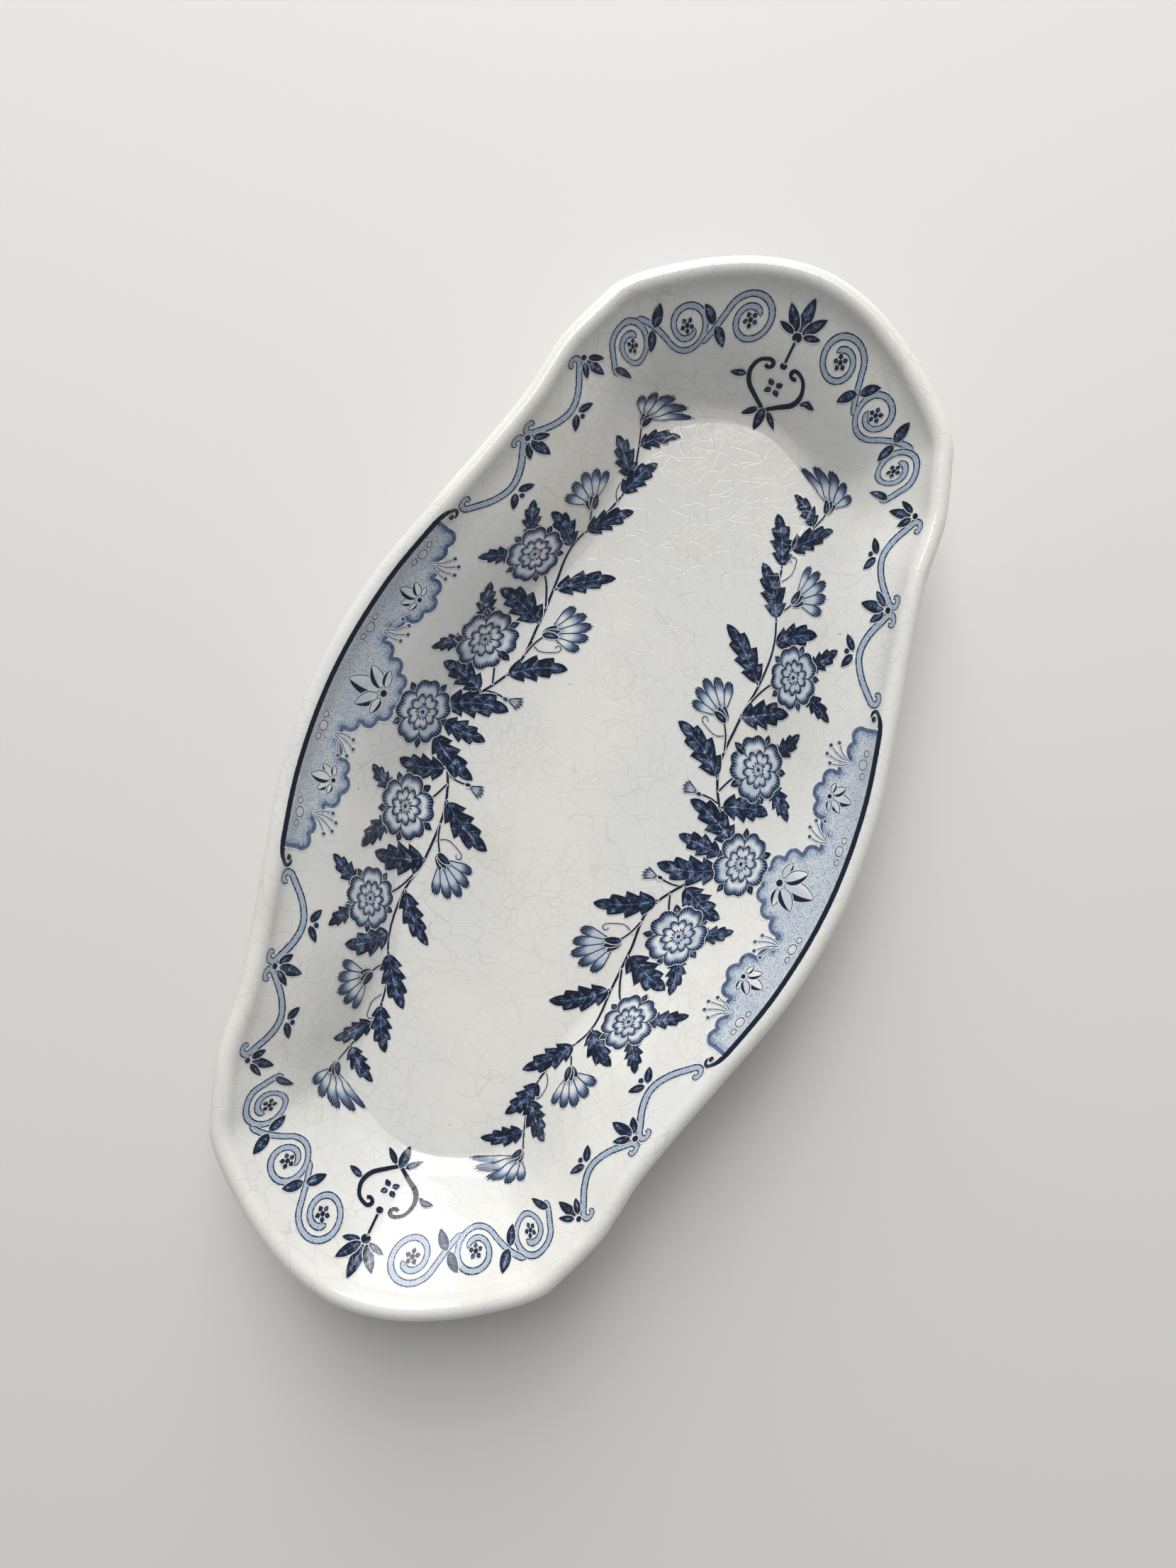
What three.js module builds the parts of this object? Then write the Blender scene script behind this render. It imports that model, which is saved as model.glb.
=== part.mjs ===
// A long lobed appetizer dish in glazed earthenware, moulded and fired as one body.
// It has a flat well, S-curved walls that crease softly at the four corners,
// a rounded lip that rolls slightly outwards, and a low foot ring round a recessed base.
// Millimetres, +Z up, +X along the length. The origin is on the ground under the centre.
import * as THREE from "three";

// Overall sizes
const dishLength = 245;
const dishWidth = 124.4;
const dishHeight = 33;

// Body thicknesses
const wallThickness = 4.2;
const floorThickness = 4.6;
const lipThickness = 4.8;

// Flat of the well, to where the wall begins to rise
const wellLength = 187;
const wellWidth = 68;

// Inside of the wall: a cove out of the well, a broad shoulder, then a steeper brim under the lip
const coveRun = 6;
const coveRise = 5.4;
const shoulderSwell = 1.1;
const brimRun = 2.2;
const brimRise = 3.6;

// Foot ring, which follows the well
const footWidth = 4;
const footHeight = 3.2;
const footOutset = 3.6;
const footFlare = 0.9;
const footRound = 0.6;
const baseRecess = 2.4;

// Where the lip's round meets the brim inside, and where it tucks back under itself outside
const lipStartAngle = THREE.MathUtils.degToRad(150);
const lipEndAngle = THREE.MathUtils.degToRad(-60);

// How finely the surface is divided
const stationsPerPoint = 2;
const wallSteps = 14;
const lipSteps = 7;

// The cove's middle point, as shares of its run and rise
const coveMiddleShares = [0.46, 0.3];
// Shares of the way up the inside that the outside follows, between the foot and the lip
const outsideShares = [0.26, 0.84];

// One quarter of the plan, from the middle of an end to the middle of a long side, as shares of
// half the length and half the width. Each row gives the rim and the place in the well below it.
// Two soft creases fan out from the well's corner to the rim, with a narrow wedge between them.
const quarterShares = [
  { rim: [1, 0], well: [1, 0] },
  { rim: [0.984, 0.185], well: [0.99, 0.18] },
  { rim: [0.94, 0.37], well: [0.966, 0.345] },
  { rim: [0.882, 0.53], well: [0.943, 0.468] },
  { rim: [0.846, 0.608], well: [0.931, 0.524] },
  { rim: [0.82, 0.647], well: [0.924, 0.55] }, // crease beside the end
  { rim: [0.786, 0.675], well: [0.919, 0.565] },
  { rim: [0.722, 0.721], well: [0.914, 0.577] },
  { rim: [0.692, 0.738], well: [0.908, 0.587] }, // crease beside the long side
  { rim: [0.65, 0.75], well: [0.885, 0.599] },
  { rim: [0.584, 0.765], well: [0.79, 0.603] },
  { rim: [0.472, 0.818], well: [0.61, 0.64] },
  { rim: [0.351, 0.883], well: [0.43, 0.77] },
  { rim: [0.18, 0.968], well: [0.213, 0.945] },
  { rim: [0, 1], well: [0, 1] },
];

// Mirrors a quarter's shares into a closed loop, counter-clockwise from +X
function aroundLoop(quarter) {
  const mirrored = quarter.slice(0, -1).reverse();
  const farHalf = [...quarter, ...mirrored.map(([x, y]) => [-x, y])];
  const nearHalf = farHalf.slice(1, -1).reverse();
  return [...farHalf, ...nearHalf.map(([x, y]) => [x, -y])];
}

// A smooth closed plan curve through the shares
function planCurve(quarter, length, width) {
  const points = aroundLoop(quarter).map(
    ([x, y]) => new THREE.Vector3((x * length) / 2, (y * width) / 2, 0),
  );
  return new THREE.CatmullRomCurve3(points, true, "centripetal");
}

// The inside of the wall at a place where it runs outwards by run: from the edge of the well
// to where the lip's round begins
function insideCurve(run, lipStart) {
  const wellHeight = baseRecess + floorThickness;
  const [coveMiddleX, coveMiddleZ] = coveMiddleShares;
  const coveTop = new THREE.Vector2(coveRun, wellHeight + coveRise);
  const brimFoot = new THREE.Vector2(lipStart.x - brimRun, lipStart.y - brimRise);
  const shoulder = coveTop.clone().lerp(brimFoot, 0.5);
  shoulder.y += shoulderSwell;
  return new THREE.SplineCurve([
    new THREE.Vector2(0, wellHeight),
    new THREE.Vector2(coveRun * coveMiddleX, wellHeight + coveRise * coveMiddleZ),
    coveTop,
    shoulder,
    brimFoot,
    lipStart,
  ]);
}

// A point on the lip's round, whose outermost point is the rim itself
function lipPoint(run, angle) {
  const radius = lipThickness / 2;
  return new THREE.Vector2(
    run - radius + radius * Math.cos(angle),
    dishHeight - radius + radius * Math.sin(angle),
  );
}

// The foot ring and the edge of the recessed base, from the outside inwards
function footPoints() {
  const outer = footOutset;
  const inner = footOutset - footWidth;
  return [
    new THREE.Vector2(outer + footFlare, footHeight),
    new THREE.Vector2(outer, footRound),
    new THREE.Vector2(outer - footRound, 0),
    new THREE.Vector2(inner + footRound, 0),
    new THREE.Vector2(inner, footRound),
    new THREE.Vector2(inner - footFlare, baseRecess),
  ];
}

// The whole section of the body at one place: x is the distance out from the edge of the well,
// y the height. It goes up the inside, over the lip, down the outside and round the foot.
function bodySection(run) {
  const section = [];
  const inside = insideCurve(run, lipPoint(run, lipStartAngle));
  for (let i = 0; i < wallSteps; i++) section.push(inside.getPoint(i / wallSteps));

  for (let i = 0; i <= lipSteps; i++) {
    const angle = THREE.MathUtils.lerp(lipStartAngle, lipEndAngle, i / lipSteps);
    section.push(lipPoint(run, angle));
  }

  // The outside keeps the wall's thickness from the inside
  const [lowShare, highShare] = outsideShares;
  const outsideSteps = Math.round(wallSteps * (highShare - lowShare));
  for (let i = 0; i <= outsideSteps; i++) {
    const share = THREE.MathUtils.lerp(highShare, lowShare, i / outsideSteps);
    const along = inside.getTangent(share);
    const outwards = new THREE.Vector2(along.y, -along.x);
    section.push(inside.getPoint(share).addScaledVector(outwards, wallThickness));
  }
  return [...section, ...footPoints()];
}

// Lofts the section round the plan, and closes it over the well and under the base
function bodyGeometry() {
  const rimCurve = planCurve(quarterShares.map((row) => row.rim), dishLength, dishWidth);
  const wellCurve = planCurve(quarterShares.map((row) => row.well), wellLength, wellWidth);
  const stationCount = rimCurve.points.length * stationsPerPoint;

  const stations = [];
  for (let s = 0; s < stationCount; s++) {
    const foot = wellCurve.getPoint(s / stationCount);
    const outwards = rimCurve.getPoint(s / stationCount).sub(foot);
    const run = outwards.length();
    outwards.normalize();
    stations.push(
      bodySection(run).map(({ x, y }) => {
        const point = foot.clone().addScaledVector(outwards, x);
        return point.setZ(y);
      }),
    );
  }

  const ringCount = stations[0].length;
  const positions = [0, 0, baseRecess + floorThickness];
  for (const station of stations) {
    for (const point of station) positions.push(point.x, point.y, point.z);
  }
  positions.push(0, 0, baseRecess);

  const wellCentre = 0;
  const baseCentre = 1 + stationCount * ringCount;
  const vertex = (s, ring) => 1 + (s % stationCount) * ringCount + ring;
  const faces = [];
  for (let s = 0; s < stationCount; s++) {
    faces.push(wellCentre, vertex(s, 0), vertex(s + 1, 0));
    for (let ring = 0; ring < ringCount - 1; ring++) {
      const here = vertex(s, ring);
      const across = vertex(s + 1, ring + 1);
      faces.push(here, vertex(s, ring + 1), across);
      faces.push(here, across, vertex(s + 1, ring));
    }
    faces.push(baseCentre, vertex(s + 1, ringCount - 1), vertex(s, ringCount - 1));
  }

  const geometry = new THREE.BufferGeometry();
  geometry.setAttribute("position", new THREE.Float32BufferAttribute(positions, 3));
  geometry.setIndex(faces);
  geometry.computeVertexNormals();
  return geometry;
}

const ivoryGlaze = new THREE.MeshStandardMaterial({
  color: 0xe9e4d4,
  roughness: 0.18,
  metalness: 0,
});

const body = new THREE.Mesh(bodyGeometry(), ivoryGlaze);
body.name = "dish_body";

const dish = new THREE.Group();
dish.add(body);

export default dish;
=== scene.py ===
import math

import bmesh
import bpy
import numpy as np
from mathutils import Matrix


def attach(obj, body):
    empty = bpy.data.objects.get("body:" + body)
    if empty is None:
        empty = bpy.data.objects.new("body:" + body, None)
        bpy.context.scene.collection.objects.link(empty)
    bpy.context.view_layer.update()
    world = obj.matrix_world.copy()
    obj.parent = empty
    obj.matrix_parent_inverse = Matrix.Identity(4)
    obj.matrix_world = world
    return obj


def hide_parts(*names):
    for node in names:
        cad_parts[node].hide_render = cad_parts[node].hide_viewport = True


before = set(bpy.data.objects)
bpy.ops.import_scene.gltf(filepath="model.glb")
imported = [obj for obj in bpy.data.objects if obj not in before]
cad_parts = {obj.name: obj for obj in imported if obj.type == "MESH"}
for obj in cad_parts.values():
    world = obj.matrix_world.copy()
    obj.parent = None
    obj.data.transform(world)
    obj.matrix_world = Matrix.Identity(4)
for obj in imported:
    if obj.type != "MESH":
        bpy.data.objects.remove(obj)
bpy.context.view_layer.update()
bpy.ops.object.select_all(action="DESELECT")

mm = 0.001  # sizes are written in millimetres and brought to metres here

# the dish has the plan and the section of the CAD part, divided more finely
dish = {
    "length": 245,
    "width": 124.4,
    "height": 33,
    "wall": 4.2,
    "floor": 4.6,
    "lip": 4.8,
    "wellLength": 187,
    "wellWidth": 68,
    "coveRun": 6,
    "coveRise": 5.4,
    "coveMiddle": (0.46, 0.3),  # shares of its run and its rise
    "swell": 1.1,
    "brimRun": 2.2,
    "brimRise": 3.6,
    "lipStart": 150,  # degrees round the lip, where the inside meets it
    "lipEnd": -60,
    "outsideShares": (0.84, 0.26),  # of the way up the inside that the outside follows
    "footWidth": 4,
    "footHeight": 3.2,
    "footOutset": 3.6,
    "footFlare": 0.9,
    "footRound": 0.6,
    "recess": 2.4,
    "stations": 448,  # round the plan
    "insideRings": 30,
    "lipRings": 12,
    "outsideRings": 18,
}

# one quarter, from the middle of an end to the middle of a long side: rim, then the well's edge
quarterPlan = [
    ((1, 0), (1, 0)),
    ((0.984, 0.185), (0.99, 0.18)),
    ((0.94, 0.37), (0.966, 0.345)),
    ((0.882, 0.53), (0.943, 0.468)),
    ((0.846, 0.608), (0.931, 0.524)),
    ((0.82, 0.647), (0.924, 0.55)),
    ((0.786, 0.675), (0.919, 0.565)),
    ((0.722, 0.721), (0.914, 0.577)),
    ((0.692, 0.738), (0.908, 0.587)),
    ((0.65, 0.75), (0.885, 0.599)),
    ((0.584, 0.765), (0.79, 0.603)),
    ((0.472, 0.818), (0.61, 0.64)),
    ((0.351, 0.883), (0.43, 0.77)),
    ((0.18, 0.968), (0.213, 0.945)),
    ((0, 1), (0, 1)),
]


def wholePlan(which, length, width):
    quarter = [row[which] for row in quarterPlan]
    far = quarter + [(-x, y) for x, y in quarter[-2::-1]]
    near = [(x, -y) for x, y in far[-2:0:-1]]
    return np.array(far + near) * (length / 2, width / 2)


def cubic(p1, p2, m1, m2, w):  # a place between two points with given slopes, and its own slope
    bend = -3 * p1 + 3 * p2 - 2 * m1 - m2
    twist = 2 * p1 - 2 * p2 + m1 + m2
    return p1 + m1 * w + bend * w ** 2 + twist * w ** 3, m1 + 2 * bend * w + 3 * twist * w ** 2


def roundSpline(points, t):  # a closed curve through the points, t from 0 to 1
    count = len(points)
    i = int(t * count)
    p0, p1, p2, p3 = (points[(i + k) % count] for k in (-1, 0, 1, 2))
    d0, d1, d2 = (math.sqrt(math.dist(a, b)) for a, b in ((p0, p1), (p1, p2), (p2, p3)))
    m1 = ((p1 - p0) / d0 - (p2 - p0) / (d0 + d1) + (p2 - p1) / d1) * d1
    m2 = ((p2 - p1) / d1 - (p3 - p1) / (d1 + d2) + (p3 - p2) / d2) * d1
    return cubic(p1, p2, m1, m2, t * count - i)[0]


def openSpline(points, t):  # an open curve through the points, and its slope
    last = len(points) - 1
    i = min(int(t * last), last - 1)
    p0, p1, p2, p3 = (points[min(max(i + k, 0), last)] for k in (-1, 0, 1, 2))
    return cubic(p1, p2, (p2 - p0) / 2, (p3 - p1) / 2, t * last - i)


def ray(degrees, length=1.0):  # a step in a direction, or one for each of several directions
    turn = np.radians(degrees)
    return length * np.stack([np.cos(turn), np.sin(turn)], axis=-1)


def unit(step):
    return step / np.linalg.norm(step)


def lipPoint(run, degrees):
    r = dish["lip"] / 2
    return (run - r, dish["height"] - r) + ray(degrees, r)


def insideLine(run):  # from the edge of the well up to the lip, as distance out and height
    low = dish["recess"] + dish["floor"]
    top = lipPoint(run, dish["lipStart"])
    cove = np.array([dish["coveRun"], low + dish["coveRise"]])
    brim = top - (dish["brimRun"], dish["brimRise"])
    shoulder = (cove + brim) / 2 + (0, dish["swell"])
    across, up = dish["coveMiddle"]
    middle = np.array([dish["coveRun"] * across, low + dish["coveRise"] * up])
    return [np.array([0, low]), middle, cove, shoulder, brim, top]


rimPlan = wholePlan(0, dish["length"], dish["width"])
wellPlan = wholePlan(1, dish["wellLength"], dish["wellWidth"])


def railAt(t):  # the well's edge, the way out to the rim and how far it is
    foot = roundSpline(wellPlan, t)
    out = roundSpline(rimPlan, t) - foot
    run = float(np.linalg.norm(out))
    return foot, out / run, run


def sectionAt(run):  # up the inside, over the lip, down the outside and round the foot
    inside = insideLine(run)
    points = [openSpline(inside, i / dish["insideRings"])[0] for i in range(dish["insideRings"])]
    for turn in np.linspace(dish["lipStart"], dish["lipEnd"], dish["lipRings"] + 1):
        points.append(lipPoint(run, turn))
    for share in np.linspace(*dish["outsideShares"], dish["outsideRings"] + 1):
        at, along = openSpline(inside, share)
        points.append(at + unit(np.array([along[1], -along[0]])) * dish["wall"])
    outer = dish["footOutset"]
    inner = outer - dish["footWidth"]
    flare, edge, recess = dish["footFlare"], dish["footRound"], dish["recess"]
    soft = edge * 0.3  # the middle of the round along the foot's edges
    foot = [
        (outer + flare, dish["footHeight"]),
        (outer + 0.1, edge * 1.6),
        (outer - soft, soft),
        (outer - edge, 0),
        (inner + edge, 0),
        (inner + soft, soft),
        (inner - 0.1, edge * 1.6),
        (inner - flare * 0.8, recess - 0.2),
        (inner - flare * 2, recess),
    ]
    return points + [np.array(point) for point in foot]


def editMode(piece):
    bpy.context.view_layer.objects.active = piece
    piece.select_set(True)
    bpy.ops.object.mode_set(mode="EDIT")
    return bmesh.from_edit_mesh(piece.data)


def objectMode(piece):
    bmesh.update_edit_mesh(piece.data)
    bpy.ops.object.mode_set(mode="OBJECT")


def makeDish():  # a ring at the well's edge, extruded ring by ring and closed over well and base
    count = dish["stations"]
    rails = [railAt(s / count) for s in range(count)]
    sections = [sectionAt(run) for foot, out, run in rails]
    rings = len(sections[0])

    def place(station, ring):
        foot, out, run = rails[station]
        away, high = sections[station][ring]
        x, y = foot + out * away
        return (x * mm, y * mm, high * mm)

    bpy.ops.mesh.primitive_circle_add(vertices=count, radius=dish["wellWidth"] / 2 * mm)
    piece = bpy.context.object
    piece.name = piece.data.name = "dish_glazed"
    bm = editMode(piece)
    mark = bm.verts.layers.int.new("station")
    # in order round the ring, the vertices take the plan's stations from its -X end on
    order = sorted(bm.verts, key=lambda v: math.atan2(-v.co.y, -v.co.x))
    for station, vertex in enumerate(order):
        vertex[mark] = (station + count // 2) % count
    for ring in range(rings):
        if ring:
            bpy.ops.mesh.extrude_region_move()
            bm = bmesh.from_edit_mesh(piece.data)
            mark = bm.verts.layers.int["station"]
        for vertex in bm.verts:
            if vertex.select:
                vertex.co = place(vertex[mark], ring)
    bpy.ops.mesh.fill_grid(span=count // 8)
    bpy.ops.mesh.select_all(action="DESELECT")
    bpy.ops.mesh.select_mode(type="EDGE")
    for edge in bmesh.from_edit_mesh(piece.data).edges:
        if edge.is_boundary:
            edge.select_set(True)
    bpy.ops.mesh.fill_grid(span=count // 8)
    bpy.ops.mesh.select_all(action="SELECT")
    bpy.ops.mesh.normals_make_consistent(inside=False)
    objectMode(piece)
    bpy.ops.object.shade_smooth()
    piece.select_set(False)
    return piece


dishGlazed = makeDish()
print("dish", len(dishGlazed.data.polygons), "faces")
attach(dishGlazed, "root")
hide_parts("dish_body")


class Value:  # a socket, so that shader maths reads as plain maths
    def __init__(self, tree, socket=None):
        self.tree = tree
        self.socket = socket

    def node(self, kind, inputs=None, output=0, **settings):
        made = self.tree.nodes.new("ShaderNode" + kind)
        for name, value in settings.items():
            if name == "stops":
                ramp = made.color_ramp
                while len(ramp.elements) < len(value):
                    ramp.elements.new(0.5)
                for stop, (spot, colour) in zip(ramp.elements, value):
                    stop.position = spot
                    stop.color = (*colour, 1)
            else:
                setattr(made, name, value)
        for key, value in (inputs or {}).items():
            if isinstance(value, Value):
                self.tree.links.new(value.socket, made.inputs[key])
            else:
                made.inputs[key].default_value = value
        return Value(self.tree, made.outputs[output])

    def part(self, number):  # another output of the same node
        return Value(self.tree, self.socket.node.outputs[number])

    def maths(self, operation, *values):
        return self.node("Math", dict(enumerate(values)), operation=operation)

    def __add__(self, other):
        return self.maths("ADD", self, other)

    __radd__ = __add__

    def __mul__(self, other):
        return self.maths("MULTIPLY", self, other)

    __rmul__ = __mul__

    def __sub__(self, other):
        return self.maths("SUBTRACT", self, other)

    def __rsub__(self, other):
        return self.maths("SUBTRACT", other, self)

    def __pow__(self, other):
        return self.maths("POWER", self, other)

    def most(self, other):
        return self.maths("MAXIMUM", self, other)

    def fold(self):  # 1 at whole numbers, 0 half way between them
        return self.maths("ABSOLUTE", self.maths("FRACT", self) - 0.5) * 2

    def wave(self):
        return self.maths("SINE", self) * 0.5 + 0.5

    def above(self, low, high):  # 0 under low, 1 over high, smooth between
        return self.node("MapRange", {0: self, 1: low, 2: high}, interpolation_type="SMOOTHSTEP")

    def below(self, low, high):
        return 1 - self.above(low, high)

    def vector(self, operation, other):
        return self.node("VectorMath", {0: self, 1: other}, operation=operation)

    def cloud(self, size, detail=2.0, shift=0.0):  # noise with features about size mm wide
        place = self.vector("ADD", (shift, shift, shift))
        return self.node("TexNoise", {"Vector": place, "Scale": 1 / (size * mm), "Detail": detail})

    def cells(self, size, feature, output):
        inputs = {"Vector": self, "Scale": 1 / (size * mm)}
        return self.node("TexVoronoi", inputs, output, feature=feature)

    def blend(self, first, second, amount):  # two colours, each a value or plain numbers
        return self.node("Mix", {0: amount, 6: first, 7: second}, 2, data_type="RGBA")


def newMaterial(name):
    material = bpy.data.materials.new(name)
    material.use_nodes = True
    return material, Value(material.node_tree)


glaze = {
    "body": (0.745, 0.733, 0.692, 1),
    "thick": (0.70, 0.695, 0.668, 1),  # where the glaze lies thicker
    "stain": (0.61, 0.53, 0.38, 1),
    "crackLine": (0.40, 0.36, 0.30, 1),
    "speck": (0.10, 0.075, 0.055, 1),
    "biscuit": (0.50, 0.40, 0.28, 1),  # bare clay under the foot
    "footDirt": (0.22, 0.16, 0.11, 1),
    "cracks": [  # cell, stretch, size of the patches that have them, how rare those are
        (4.5, (1.0, 0.62, 1.0), 15, 0.34),
        (2.6, (0.65, 1.0, 1.0), 21, 0.4),
    ],
    "crackWidth": 0.13,
    "crackBow": 0.0065,
    "roughness": 0.09,
    "bumpDepth": 0.05,
    "bareHeight": (0.45, 0.62),  # up to where the foot is bare, millimetres
    "stiltRadius": (0.7, 0.9),
    "ragged": 0.4,  # how uneven the edge of the glaze is there
    "stiltMarks": [(-61, 3), (-55, -7), (-49, 4), (50, -3), (56, 7), (62, -4)],
}


def crazing(place):  # fine cracks in the glaze, in two sizes that run into each other
    bow = place.node("TexNoise", {"Vector": place, "Scale": 75, "Detail": 1.5}, "Color")
    bow = bow.vector("SUBTRACT", (0.5, 0.5, 0.5)).vector("MULTIPLY", (glaze["crackBow"],) * 3)
    bent = place.vector("ADD", bow)
    lines = None
    for cell, stretch, patches, low in glaze["cracks"]:
        gap = bent.vector("MULTIPLY", stretch).cells(cell, "DISTANCE_TO_EDGE", "Distance")
        where = place.cloud(patches, shift=cell).above(low, low + 0.16)
        crack = gap.below(0.0, glaze["crackWidth"] / cell) * where
        lines = lines.most(crack * 0.8) if lines else crack
    return lines


def glazeSurface(v):  # the place on the dish, the glaze's colour there and its height
    place = v.node("TexCoord", output="Object")
    cracks = crazing(place)
    colour = v.blend(glaze["body"], glaze["thick"], place.cloud(38, 3).above(0.4, 0.62))
    colour = v.blend(colour, glaze["stain"], place.cloud(26, 4, 7).above(0.6, 0.78) * 0.32)
    colour = v.blend(colour, glaze["crackLine"], cracks * (place.cloud(30, shift=5) * 0.45))
    pick = v.node("SeparateColor", {0: place.cells(7, "F1", "Color")})
    speck = place.cells(7, "F1", "Distance").below(0.02, 0.035) * pick.above(0.84, 0.85)
    colour = v.blend(colour, glaze["speck"], speck * 0.8)
    height = place.cloud(14, 2, 11) * 1.6 + place.cloud(3.5, 2, 13) * 0.16 - cracks * 0.34
    return place, colour, height


def glossOver(v, material, colour, height, roughness=None):  # the glaze's gloss and its bumps
    shader = material.node_tree.nodes["Principled BSDF"]
    v.tree.links.new(colour.socket, shader.inputs["Base Color"])
    shader.inputs["Roughness"].default_value = glaze["roughness"]
    if roughness:
        v.tree.links.new(roughness.socket, shader.inputs["Roughness"])
    depth = glaze["bumpDepth"] * mm
    bump = v.node("Bump", {"Height": height, "Distance": depth, "Strength": 1.0})
    v.tree.links.new(bump.socket, shader.inputs["Normal"])
    return material


def glazedClay():  # glazed all over, but for the edge that the dish stands on and the stilt marks
    material, v = newMaterial("glazedClay")
    place, colour, height = glazeSurface(v)
    high = v.node("SeparateXYZ", {0: place}, 2)

    def within(away, edges, size):  # 1 up to the edges, which are ragged
        ragged = place.cloud(size) * (glaze["ragged"] * mm)
        return (away + ragged).below(*(edge * mm for edge in edges))

    bare = within(high, glaze["bareHeight"], 2.5)
    for x, y in glaze["stiltMarks"]:
        spot = (x * mm, y * mm, dish["recess"] * mm)
        away = place.node("VectorMath", {0: place, 1: spot}, 1, operation="DISTANCE")
        bare = bare.most(within(away, glaze["stiltRadius"], 0.9))
    dirt = place.cloud(1.2, 4, 2).above(0.4, 0.7) * 0.7
    colour = v.blend(colour, v.blend(glaze["biscuit"], glaze["footDirt"], dirt), bare)
    return glossOver(v, material, colour, height, bare * 0.75 + glaze["roughness"])


dishGlazed.data.materials.append(glazedClay())

# the blue print under the glaze: films that are drawn flat and wrapped on the inside of the dish
ink = {
    "stops": [  # the colour from no ink to the thickest
        (0.0, (0.63, 0.66, 0.675)),
        (0.25, (0.38, 0.445, 0.53)),
        (0.52, (0.11, 0.155, 0.26)),
        (0.8, (0.017, 0.031, 0.072)),
        (1.0, (0.005, 0.009, 0.022)),
    ],
    "fringe": 0.15,  # how much blue runs into the glaze beside the ink
    "halo": 0.2,  # how far a film reaches past its ink
    "blur": 0.07,  # how soft the ink's own edge is, to either side
    "ragged": 0.16,  # and how uneven
    "under": 0.03,  # how far a film reaches into the dish
    "layers": 6,
    "layerStep": 0.004,
}


def inkMaterial(name, density):
    # along and across come from the film's first UV map, its tone and edge from the second
    material, v = newMaterial(name)
    place, ground, height = glazeSurface(v)
    along = v.node("SeparateXYZ", {0: v.node("UVMap", uv_map="shape")})
    tone = v.node("SeparateXYZ", {0: v.node("UVMap", uv_map="edge")})
    edge = tone.part(1)
    halo, blur = ink["halo"], ink["blur"]
    inside = edge + (place.cloud(0.32, 1) - 0.5) * ink["ragged"]
    inside = inside.above(halo - blur, halo + blur)
    fringe = edge.above(0.0, halo) * ink["fringe"] * place.cloud(9, 2, 4).above(0.35, 0.6)
    amount = density(place, along, along.part(1), tone, edge - halo)
    strength = place.cloud(34, 2, 9) * 0.4 + place.cloud(0.8, 2, 1) * 0.4 + 0.6
    amount = (amount * strength * inside).most(fringe)
    tinted = v.node("ValToRGB", {0: amount}, stops=ink["stops"])
    return glossOver(v, material, v.blend(ground, tinted, amount.above(0.0, 0.16)), height)


# sheets to draw on: one along a long side, one over an end and one that follows the rim,
# each in millimetres along and millimetres down from the lip, measured on the surface
sheets = {
    "step": 0.5,
    "deep": 75,
    "lipFrom": 108,  # degrees round the lip where the sheets begin
    "lipSteps": 6,
    "wallSteps": 40,
    "sideReach": 100,
    "sideTurns": (0.49, 0.01, 300),  # shares of the way round the plan, and how many
    "endReach": 40,
    "endTurns": (-0.14, 0.14, 200),
    "rimFrom": -60,
    "rimTurns": (0.5, -0.1, 900),
    "sideMiddle": 0.25,  # the share at the middle of a long side
}
downs = np.arange(0, sheets["deep"], sheets["step"])


def wayAlong(line):  # how far along a line each of its points lies
    return np.concatenate([[0], np.cumsum(np.linalg.norm(np.diff(line, axis=0), axis=1))])


def pointsAt(spots, way, line):  # the points of a line at given ways along it
    return np.column_stack([np.interp(spots, way, line[:, k]) for k in (0, 1)])


def fallLine(t):  # plan places from the lip down to the well's edge, and the way along the surface
    foot, out, run = railAt(t)
    inside = insideLine(run)
    turns = np.linspace(sheets["lipFrom"], dish["lipStart"], sheets["lipSteps"])[:-1]
    line = [lipPoint(run, turn) for turn in turns]
    line += [openSpline(inside, share)[0] for share in np.linspace(1, 0, sheets["wallSteps"])]
    line = np.array(line)
    return foot + np.outer(line[:, 0], out), wayAlong(line)


def readTable(table, first, along, down):  # blends between the table's rows and columns
    i = np.clip((along - first) / sheets["step"], 0, len(table) - 1.001)
    k = np.clip(down / sheets["step"], 0, table.shape[1] - 1.001)
    i0, k0 = i.astype(int), k.astype(int)
    wi, wk = i - i0, k - k0
    if table.ndim == 3:
        wi, wk = wi[:, None], wk[:, None]
    near = table[i0, k0] * (1 - wk) + table[i0, k0 + 1] * wk
    far = table[i0 + 1, k0] * (1 - wk) + table[i0 + 1, k0 + 1] * wk
    return near * (1 - wi) + far * wi


def crossTable(turns, axis, reach):  # keeps one plan axis as it is and wraps along the other
    lines = [fallLine(t) for t in turns]
    places = np.array([line[0] for line in lines])
    ways = np.array([line[1] for line in lines])
    keep, other = places[:, :, axis], places[:, :, 1 - axis]
    table = []
    for value in np.arange(-reach, reach + sheets["step"], sheets["step"]):
        across = [np.interp(value, keep[:, j], other[:, j]) for j in range(keep.shape[1])]
        way = [np.interp(value, keep[:, j], ways[:, j]) for j in range(keep.shape[1])]
        table.append(np.interp(downs, way, across) - np.maximum(downs - way[-1], 0))
    return np.array(table)


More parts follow.
